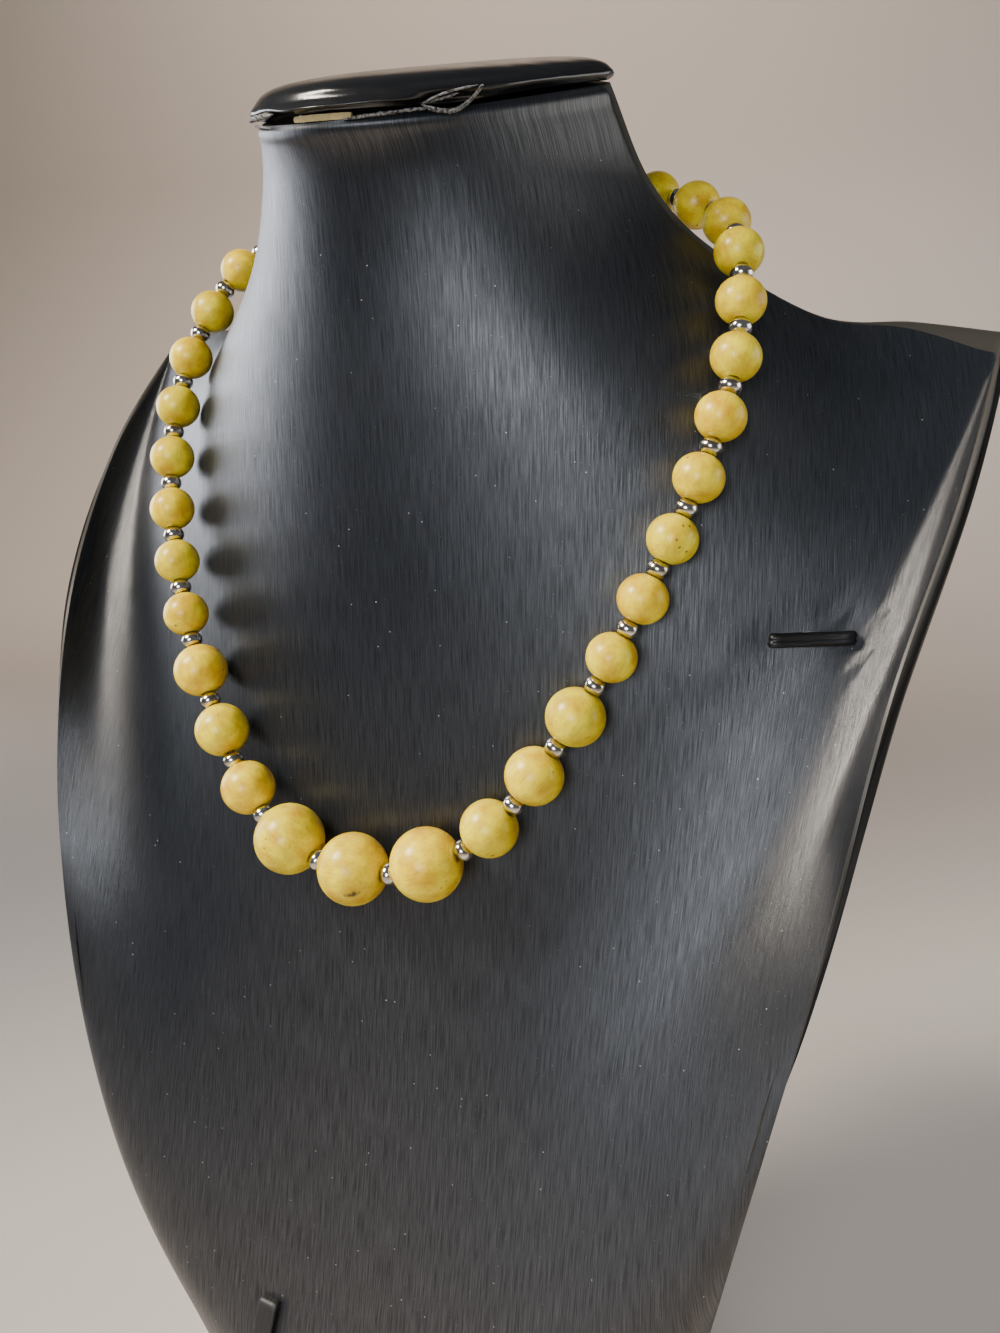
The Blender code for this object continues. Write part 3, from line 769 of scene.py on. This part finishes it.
def strap_spine(ends, lift):
    """Points and outward ways along a strap: up one slot, along the panel and down through the next."""
    spots = []
    for step in range(STRAP_STEPS + 1):
        share = step / STRAP_STEPS
        place = ends[0].section + (ends[1].section - ends[0].section) * share
        across = ends[0].across + (ends[1].across - ends[0].across) * share
        spots.append((panel_point(place, across), panel_normal(place, across)))
    first, last = spots[0][0], spots[-1][0]
    run = (last - first).normalized()
    outs = [(way - run * way.dot(run)).normalized() for _, way in spots]
    depth = PANEL_THICKNESS + STRAP_TAIL
    depths = (depth, depth * 0.4, SLOT_START)
    spine = [(first - outs[0] * deep, -run) for deep in depths]
    spine.append((first + outs[0] * lift * BEND_RISE + run * lift * BEND_RUN, (outs[0] - run).normalized()))
    for index in range(1, STRAP_STEPS):
        chord = first.lerp(last, index / STRAP_STEPS)
        rise = (spots[index][0] - chord).dot(outs[index]) + lift
        spine.append((chord + outs[index] * rise, outs[index]))
    spine.append((last + outs[-1] * lift * BEND_RISE - run * lift * BEND_RUN, (outs[-1] + run).normalized()))
    spine += [(last - outs[-1] * deep, run) for deep in reversed(depths)]
    return spine


def strap(name, ends, width, thickness, outline, finish):
    """A strap swept along its spine, with its own UV map of round and along, in metres."""
    spine = strap_spine(ends, STRAP_RISE + thickness / 2)
    count = len(spine) - 1
    side = (spine[-1][0] - spine[0][0]).normalized().cross(spine[count // 2][1]).normalized()
    rings = []
    lengths = [0.0]
    before = None
    for step in range(count * 4 + 1):
        place = step / 4
        point = Vector([smooth_value([row[0][axis] for row in spine], place) for axis in range(3)])
        way = Vector([smooth_value([row[1][axis] for row in spine], place) for axis in range(3)]).normalized()
        if before is not None:
            lengths.append(lengths[-1] + (point - before).length)
        before = point
        rings.append([point + side * width * wide + way * thickness * high for wide, high in outline])
    form = bmesh.new()
    skinned(form, rings, capped=True)
    made = solid_from(form, name, finish)
    layer = made.data.uv_layers.new(name="strap_run")
    for loop in made.data.loops:
        ring, corner = divmod(loop.vertex_index, len(outline))
        layer.data[loop.index].uv = (outline[corner][0] * width, lengths[ring])
    return made


def woven_black(name, colour, rib, roughness):
    """Black waxed cotton or ribbed tape: dark threads run lengthwise and catch a thin line of light."""
    made, tree, shader = new_finish(name, colour, roughness, IOR=1.5)
    ribs = streaked(tree, "strap_run", rib, rib * 9, 2.0)
    shade = ranged(tree, ribs, 0.35, 0.65, 0.6, 1.7)
    feed(shader, Base_Color=blend(tree, 1.0, linear(colour), shade, "MULTIPLY"))
    emboss(tree, shader, ribs, 0.6, 0.2 * MM)
    return made


lace_outline = []
for index in range(STRAP_SIDES):
    angle = math.tau * index / STRAP_SIDES
    groove = 1 - 0.42 * math.exp(-(math.cos(angle) / 0.26) ** 2)
    lace_outline.append((0.5 * math.cos(angle), 0.5 * math.sin(angle) * groove))
band_outline = []
for index in range(STRAP_SIDES):
    angle = math.tau * (index + 0.5) / STRAP_SIDES
    wide = math.copysign(abs(math.cos(angle)) ** 0.35, math.cos(angle)) * 0.5
    high = math.copysign(abs(math.sin(angle)) ** 0.6, math.sin(angle)) * 0.5
    band_outline.append((wide, high))
waxed_lace = woven_black("waxed_cotton_lace", "0c0c0d", 0.35 * MM, 0.32)
doubled_lace = strap("doubled_lace", SIDE_STRAP_ENDS, SIDE_STRAP_WIDTH, SIDE_STRAP_THICKNESS, lace_outline,
                     waxed_lace)
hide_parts("side_strap")
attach(doubled_lace, "root")
ribbed_tape = woven_black("ribbed_tape", "121213", 0.5 * MM, 0.5)
flat_band = strap("flat_band", FOOT_STRAP_ENDS, FOOT_STRAP_WIDTH, FOOT_STRAP_THICKNESS, band_outline,
                  ribbed_tape)
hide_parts("foot_strap")
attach(flat_band, "root")

# Wooden beads.
# Each bead is turned from wood, drilled, stained mustard yellow and lacquered. They are threaded in order of
# size, the large ones at the front, and every one is turned a little differently on the thread.
BEAD_COUNT = 35
BEAD_SIDES = 40
BEAD_HOLE = 2.2 * MM
Kind = namedtuple("Kind", "width length")
LARGE = Kind(15.2 * MM, 14.6 * MM)
MEDIUM = Kind(11.8 * MM, 11.3 * MM)
SMALL = Kind(10.0 * MM, 9.4 * MM)
bead_nodes = [f"bead_{number:02d}" for number in range(1, BEAD_COUNT + 1)]


def box_middle(node):
    """The middle of a solid's box."""
    low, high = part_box(node)
    return (low + high) / 2


bead_places = [box_middle(node) for node in bead_nodes]
ranks = [abs(index - BEAD_COUNT // 2) for index in range(BEAD_COUNT)]
bead_kinds = [LARGE if rank <= 1 else MEDIUM if rank <= 4 else SMALL for rank in ranks]
clasp_place = box_middle("barrel_clasp")
# each bead points from the one before it to the next, and the first and last along their only neighbour
bead_runs = [(after - before).normalized() for before, after in zip(bead_places, bead_places[2:])]
bead_runs.insert(0, (bead_places[1] - bead_places[0]).normalized())
bead_runs.append((bead_places[-1] - bead_places[-2]).normalized())
TURNING_RADIUS = 1 * MM
EDGE_EASE = 0.012


def turned_outline(name, points):
    """A closed outline beside its axis, as a curve: distance out along X and height along Y."""
    data = bpy.data.curves.new(name, "CURVE")
    spline = data.splines.new("POLY")
    spline.points.add(len(points) - 1)
    for point, (out, up) in zip(spline.points, points):
        point.co = (out - TURNING_RADIUS, up, 0.0, 1.0)
    spline.use_cyclic_u = True
    return link_object(name, data)


def bead_outline(kind, hole):
    """Half the section of a drilled round bead: round its outside, with eased edges, and back up its hole."""
    bands = 26
    edge = math.asin(hole / kind.width)
    half = kind.length / 2 / math.cos(edge)
    points = []
    for band in range(bands + 1):
        angle = edge + (math.pi - 2 * edge) * band / bands
        ease = 1 - EDGE_EASE * math.exp(-((min(band, bands - band)) / 1.2) ** 2)
        points.append((kind.width / 2 * math.sin(angle), half * math.cos(angle) * ease))
    inner = [(hole / 2 * 0.97, points[-1][1] * share) for share in (0.9, 0.3, -0.3, -0.9)]
    return points + inner


def threading_tree():
    """Geometry nodes that turn an outline on a lathe and set a copy at every point, along the string."""
    tree = bpy.data.node_groups.new("threaded_turnings", "GeometryNodeTree")
    face = tree.interface
    face.new_socket("Geometry", in_out="OUTPUT", socket_type="NodeSocketGeometry")
    for name, kind in (("Geometry", "Geometry"), ("Outline", "Object"), ("Sides", "Int"),
                       ("Turning Radius", "Float"), ("Finish", "Material")):
        face.new_socket(name, in_out="INPUT", socket_type="NodeSocket" + kind)
    start = add_node(tree, "NodeGroupInput").outputs
    outline = add_node(tree, "GeometryNodeObjectInfo", Object=start["Outline"])
    ring = add_node(tree, "GeometryNodeCurvePrimitiveCircle", Resolution=start["Sides"],
                    Radius=start["Turning Radius"])
    turned = add_node(tree, "GeometryNodeCurveToMesh", Curve=ring, Profile_Curve=outline.outputs["Geometry"])
    spot = add_node(tree, "GeometryNodeInputPosition")
    kept = add_node(tree, "GeometryNodeStoreNamedAttribute", {"data_type": "FLOAT_VECTOR", "domain": "POINT"},
                    Name="bead_place", Geometry=turned)
    value = next(socket for socket in kept.inputs if socket.name == "Value" and socket.enabled)
    tree.links.new(spot.outputs[0], value)
    aim = add_node(tree, "GeometryNodeInputNamedAttribute", {"data_type": "FLOAT_VECTOR"}, Name="aim")
    vector = next(socket for socket in aim.outputs if socket.name == "Attribute" and socket.enabled)
    copies = add_node(tree, "GeometryNodeInstanceOnPoints", Points=start["Geometry"], Instance=kept,
                      Rotation=vector)
    real = add_node(tree, "GeometryNodeRealizeInstances", Geometry=copies)
    smooth = add_node(tree, "GeometryNodeSetShadeSmooth", Geometry=real)
    finished = add_node(tree, "GeometryNodeSetMaterial", Geometry=smooth, Material=start["Finish"])
    add_node(tree, "NodeGroupOutput", Geometry=finished)
    return tree


threaded_turnings = threading_tree()


def thread_on(name, spots, points, sides, finish):
    """One mesh of pieces turned from an outline, at spots of place, direction and a number of its own."""
    outline = turned_outline(name + "_outline", points)
    data = bpy.data.meshes.new(name)
    data.from_pydata([tuple(place) for place, _, _ in spots], [], [])
    aims = []
    for _, along, lot in spots:
        turn = Matrix.Rotation(lot * math.tau, 3, "Z")
        aims += (along.to_track_quat("Z", "Y").to_matrix() @ turn).to_euler()
    data.attributes.new("aim", "FLOAT_VECTOR", "POINT").data.foreach_set("vector", aims)
    data.attributes.new("lot", "FLOAT", "POINT").data.foreach_set("value", [lot for _, _, lot in spots])
    item = link_object(name, data)
    maker = item.modifiers.new("threaded", "NODES")
    maker.node_group = threaded_turnings
    values = {"Outline": outline, "Sides": sides, "Turning Radius": TURNING_RADIUS, "Finish": finish}
    for socket in threaded_turnings.interface.items_tree:
        if socket.in_out == "INPUT" and socket.name in values:
            maker[socket.identifier] = values[socket.name]
    made = finished_mesh(item, name)
    bpy.data.objects.remove(outline)
    return made


def joined(name, items, finish):
    """Joins mesh objects into one, with one material."""
    form = bmesh.new()
    for item in items:
        form.from_mesh(item.data)
        bpy.data.objects.remove(item)
    for face in form.faces:
        face.material_index = 0
    return solid_from(form, name, finish)


# marks seen in the wood: bead, place on it as the camera sees it in shares of its radius, size in mm, then
# how strong it is and its colour
Mark = namedtuple("Mark", "bead right up size depth tone")
BEAD_MARKS = (
    Mark(18, 0.02, -0.54, 4.4, 0.45, "b07a20"),
    Mark(18, 0.10, -0.57, 1.0, 0.95, "453010"),
    Mark(18, -0.02, -0.60, 0.8, 0.9, "5c3d16"),
    Mark(18, -0.14, -0.60, 0.6, 0.7, "6e4a1c"),
    Mark(18, 0.25, -0.52, 0.55, 0.7, "6e4a1c"),
    Mark(18, 0.38, -0.40, 0.4, 0.5, "7a5220"),
    Mark(25, 0.56, 0.42, 0.42, 0.9, "4f3512"),
    Mark(25, 0.30, 0.42, 0.45, 0.8, "5c3d16"),
    Mark(25, 0.04, -0.12, 0.38, 0.9, "4f3512"),
    Mark(25, 0.16, -0.40, 0.42, 0.8, "5c3d16"),
    Mark(13, -0.30, -0.56, 0.45, 0.85, "4f3512"),
    Mark(19, 0.42, -0.52, 0.42, 0.6, "6e4a1c"),
    Mark(19, 0.55, -0.34, 0.34, 0.5, "6e4a1c"),
    Mark(17, 0.36, -0.30, 0.36, 0.5, "6e4a1c"),
)


def seen_on(mark):
    """The point on a bead where the camera sees a mark."""
    radius = bead_kinds[mark.bead - 1].width / 2
    towards = math.sqrt(1 - mark.right ** 2 - mark.up ** 2)
    return bead_places[mark.bead - 1] + radius * (
        CAMERA_RIGHT * mark.right + CAMERA_UP * mark.up + camera_back * towards)


def stained_wood():
    """Fine grained hardwood stained mustard and lacquered: soft gloss over streaks and brown flecks."""
    made, tree, shader = new_finish("lacquered_mustard_wood", "cdb63e", 0.5, Coat_Weight=0.5,
                                    Coat_Roughness=0.26, Specular_IOR_Level=0.15)
    place = add_node(tree, "ShaderNodeAttribute", {"attribute_name": "bead_place"}).outputs["Vector"]
    lot = add_node(tree, "ShaderNodeAttribute", {"attribute_name": "lot"}).outputs["Fac"]
    # each bead is cut from its own part of the wood
    apart = maths(tree, "MULTIPLY", lot, 0.9)
    shift = add_node(tree, "ShaderNodeCombineXYZ", X=apart, Y=apart)
    own = add_node(tree, "ShaderNodeVectorMath", {"operation": "ADD"}, _0=place, _1=shift)
    # grain lines about 0.4 mm apart and several millimetres long, along the hole
    fibre = add_node(tree, "ShaderNodeMapping", Vector=own, Scale=(2600.0, 2200.0, 260.0))
    grain = clouds(tree, fibre, 1.0, 3.0)
    tone = two_tone(tree, clouds(tree, own, 260.0, 2.0), "cea20a", "f5dc20", 0.30, 0.68)
    skin = blend(tree, 1.0, tone, ranged(tree, grain, 0.28, 0.52, 0.80, 1.0), "MULTIPLY")
    skin = blend(tree, specks(tree, own, 900.0, 0.988, 0.12, 0.32), skin, linear("6e4a1c"))
    # turning lines round the hole, as fine rings within a couple of millimetres of it
    parts = add_node(tree, "ShaderNodeSeparateXYZ", Vector=place)
    flat = add_node(tree, "ShaderNodeCombineXYZ", X=parts.outputs["X"], Y=parts.outputs["Y"])
    length = add_node(tree, "ShaderNodeVectorMath", {"operation": "LENGTH"}, _0=flat)
    away = length.outputs["Value"]
    wave = maths(tree, "SINE", maths(tree, "MULTIPLY", away, math.tau / (0.5 * MM)))
    close = ranged(tree, away, 1.4 * MM, 3.2 * MM, 0.14, 0.0)
    shade = maths(tree, "ADD", maths(tree, "SUBTRACT", 1.0, close), maths(tree, "MULTIPLY", wave, close))
    skin = blend(tree, 1.0, skin, shade, "MULTIPLY")
    # the knot on the front bead and the specks and pits on others, each a ragged brown spot
    whole = on_object(tree)
    ragged = clouds(tree, whole, 1400.0, 2.0)
    for mark in BEAD_MARKS:
        size = mark.size * MM
        span = add_node(tree, "ShaderNodeVectorMath", {"operation": "DISTANCE"}, _0=whole, _1=seen_on(mark))
        reach = maths(tree, "MULTIPLY_ADD", ragged, size * 0.8, span.outputs["Value"])
        spot = ranged(tree, reach, size * 0.7, size * 1.3, mark.depth, 0.0)
        skin = blend(tree, spot, skin, linear(mark.tone))
    # each bead took the stain a little differently
    own_tone = add_node(tree, "ShaderNodeHueSaturation", Hue=ranged(tree, lot, 0.0, 1.0, 0.493, 0.508),
                        Value=ranged(tree, lot, 0.0, 1.0, 1.08, 0.95), Color=skin)
    feed(shader, Base_Color=own_tone)
    emboss(tree, shader, grain, 0.25, 0.12 * MM)
    return made


mustard_wood = stained_wood()
bead_groups = []
for kind in (LARGE, MEDIUM, SMALL):
    spots = [(bead_places[index], bead_runs[index], (index * 0.618) % 1.0)
             for index in range(BEAD_COUNT) if bead_kinds[index] is kind]
    outline = bead_outline(kind, BEAD_HOLE)
    bead_groups.append(thread_on("bead_group", spots, outline, BEAD_SIDES, mustard_wood))
wooden_beads = joined("wooden_beads", bead_groups, mustard_wood)
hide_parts(*bead_nodes)
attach(wooden_beads, "root")

# Silver spacers, thread and clasp.
# A small silver plated bead sits between each two wooden ones. They are stamped in two halves and polished.
# The thread is waxed cotton, and a barrel clasp of the same plate joins its ends behind the neck.
SPACER_WIDTH = 4.6 * MM
SPACER_LENGTH = 3.3 * MM
SPACER_HOLE = 1.2 * MM
SPACER_SIDES = 32
SPACER_BANDS = 20
CLASP_LENGTH = 7.0 * MM
CLASP_WIDTH = 5.0 * MM
CLASP_SIDES = 40
bead_tips = []
for place, run, kind in zip(bead_places, bead_runs, bead_kinds):
    bead_tips += [place - run * kind.length / 2, place + run * kind.length / 2]
clasp_reach = Vector((CLASP_LENGTH / 2, 0, 0))
clasp_ends = (clasp_place - clasp_reach, clasp_place + clasp_reach)
# the thread leaves the clasp at the end that faces each outermost bead
first_end = min(clasp_ends, key=lambda end: (end - bead_tips[0]).length)
last_end = min(clasp_ends, key=lambda end: (end - bead_tips[-1]).length)
stops = [first_end, *bead_tips, last_end]
spacer_spots = []
for index, (near, far) in enumerate(zip(stops[::2], stops[1::2])):
    spacer_spots.append(((near + far) / 2, (far - near).normalized(), (index * 0.37) % 1.0))
spacer_points = []
for band in range(SPACER_BANDS + 1):
    angle = math.pi * band / SPACER_BANDS
    out = SPACER_HOLE / 2 + (SPACER_WIDTH - SPACER_HOLE) / 2 * math.sin(angle)
    spacer_points.append((out, SPACER_LENGTH / 2 * math.cos(angle)))


def silver():
    """Polished silver plate on brass: a clear mirror with faint tarnish."""
    made, tree, shader = new_finish("polished_silver_plate", "d8d4cb", 0.16, Metallic=1.0)
    tarnish = clouds(tree, on_object(tree), 420.0, 3.0)
    feed(shader, Base_Color=two_tone(tree, tarnish, "b5ab97", "e2dfd8", 0.35, 0.60))
    feed(shader, Roughness=ranged(tree, tarnish, 0.0, 1.0, 0.22, 0.10))
    return made


silver_plate = silver()
spacer_group = thread_on("spacer_group", spacer_spots, spacer_points, SPACER_SIDES, silver_plate)
silver_spacers = joined("silver_spacers", [spacer_group], silver_plate)
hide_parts("spacer_string")
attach(silver_spacers, "root")

THREAD_WIDTH = 0.8 * MM
thread_curve = bpy.data.curves.new("waxed_thread", "CURVE")
thread_curve.dimensions = "3D"
thread_curve.bevel_depth = THREAD_WIDTH / 2
thread_curve.bevel_resolution = 3
thread_curve.use_fill_caps = True
spline = thread_curve.splines.new("POLY")
spline.points.add(len(stops) - 1)
for point, place in zip(spline.points, stops):
    point.co = (*place, 1.0)
thread_raw = link_object("thread_raw", thread_curve)
waxed_thread = finished_mesh(thread_raw, "waxed_thread")
waxed_cotton, _, _ = new_finish("waxed_cotton", "b9ab78", 0.7)
waxed_thread.data.materials.append(waxed_cotton)
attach(waxed_thread, "root")

# half the clasp's section, as shares of its half width and half length: end ring, dome, and knurled middle
CLASP_HALF = ((0.16, 1.0), (0.42, 1.0), (0.62, 0.93), (0.86, 0.78), (0.96, 0.6), (1.0, 0.42), (0.97, 0.30),
              (1.0, 0.24), (0.97, 0.16), (1.0, 0.10), (0.93, 0.04))
clasp_profile = [*CLASP_HALF, *((out, -up) for out, up in reversed(CLASP_HALF))]
clasp_points = [(out * CLASP_WIDTH / 2, up * CLASP_LENGTH / 2) for out, up in clasp_profile]
clasp_spot = (clasp_place, Vector((1, 0, 0)), 0.0)
clasp_group = thread_on("clasp_group", [clasp_spot], clasp_points, CLASP_SIDES, silver_plate)
screw_clasp = joined("screw_clasp", [clasp_group], silver_plate)
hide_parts("barrel_clasp")
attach(screw_clasp, "root")
